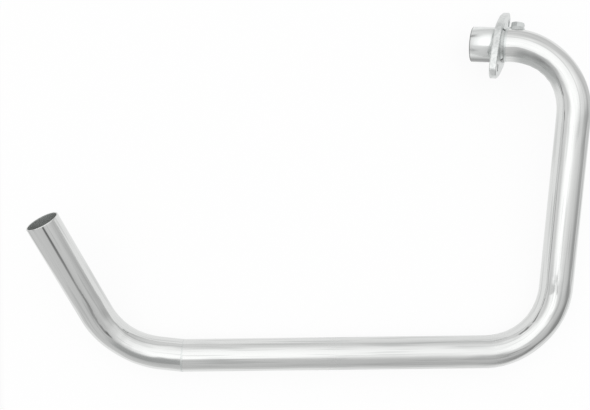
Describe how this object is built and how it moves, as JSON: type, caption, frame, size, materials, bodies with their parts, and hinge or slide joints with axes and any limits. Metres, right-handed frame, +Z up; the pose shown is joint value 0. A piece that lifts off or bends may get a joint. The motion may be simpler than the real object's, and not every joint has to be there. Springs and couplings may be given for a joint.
{
  "type": "motorcycle exhaust header",
  "caption": "Polished steel exhaust header for a motorcycle: a flanged port spigot on a bent pipe that runs down, under and back to a plain slip outlet, with a threaded sensor boss.",
  "frame": {"origin": "on the floor, under the middle of the header's box as it lies at rest", "axes": "+X along the under run towards its front bend, +Y towards the port, +Z up from the floor it lies on"},
  "size_m": [0.6318, 0.4192, 0.1031],
  "materials": {
    "polished_tube": "mirror-polished stainless tube",
    "turned_steel": "fine-turned stainless steel",
    "plate_steel": "cut stainless plate, lightly blasted",
    "boss_steel": "milled stainless hexagon",
    "weld_metal": "brushed weld bead"
  },
  "bodies": {
    "root": {"front_pipe": "polished_tube", "tail_pipe": "polished_tube", "port_spigot": "turned_steel", "port_flange": "plate_steel", "sensor_boss": "boss_steel", "flange_weld_upper": "weld_metal", "flange_weld_lower": "weld_metal", "spigot_weld": "weld_metal", "boss_weld": "weld_metal", "tail_weld": "weld_metal"}
  },
  "joints": []
}
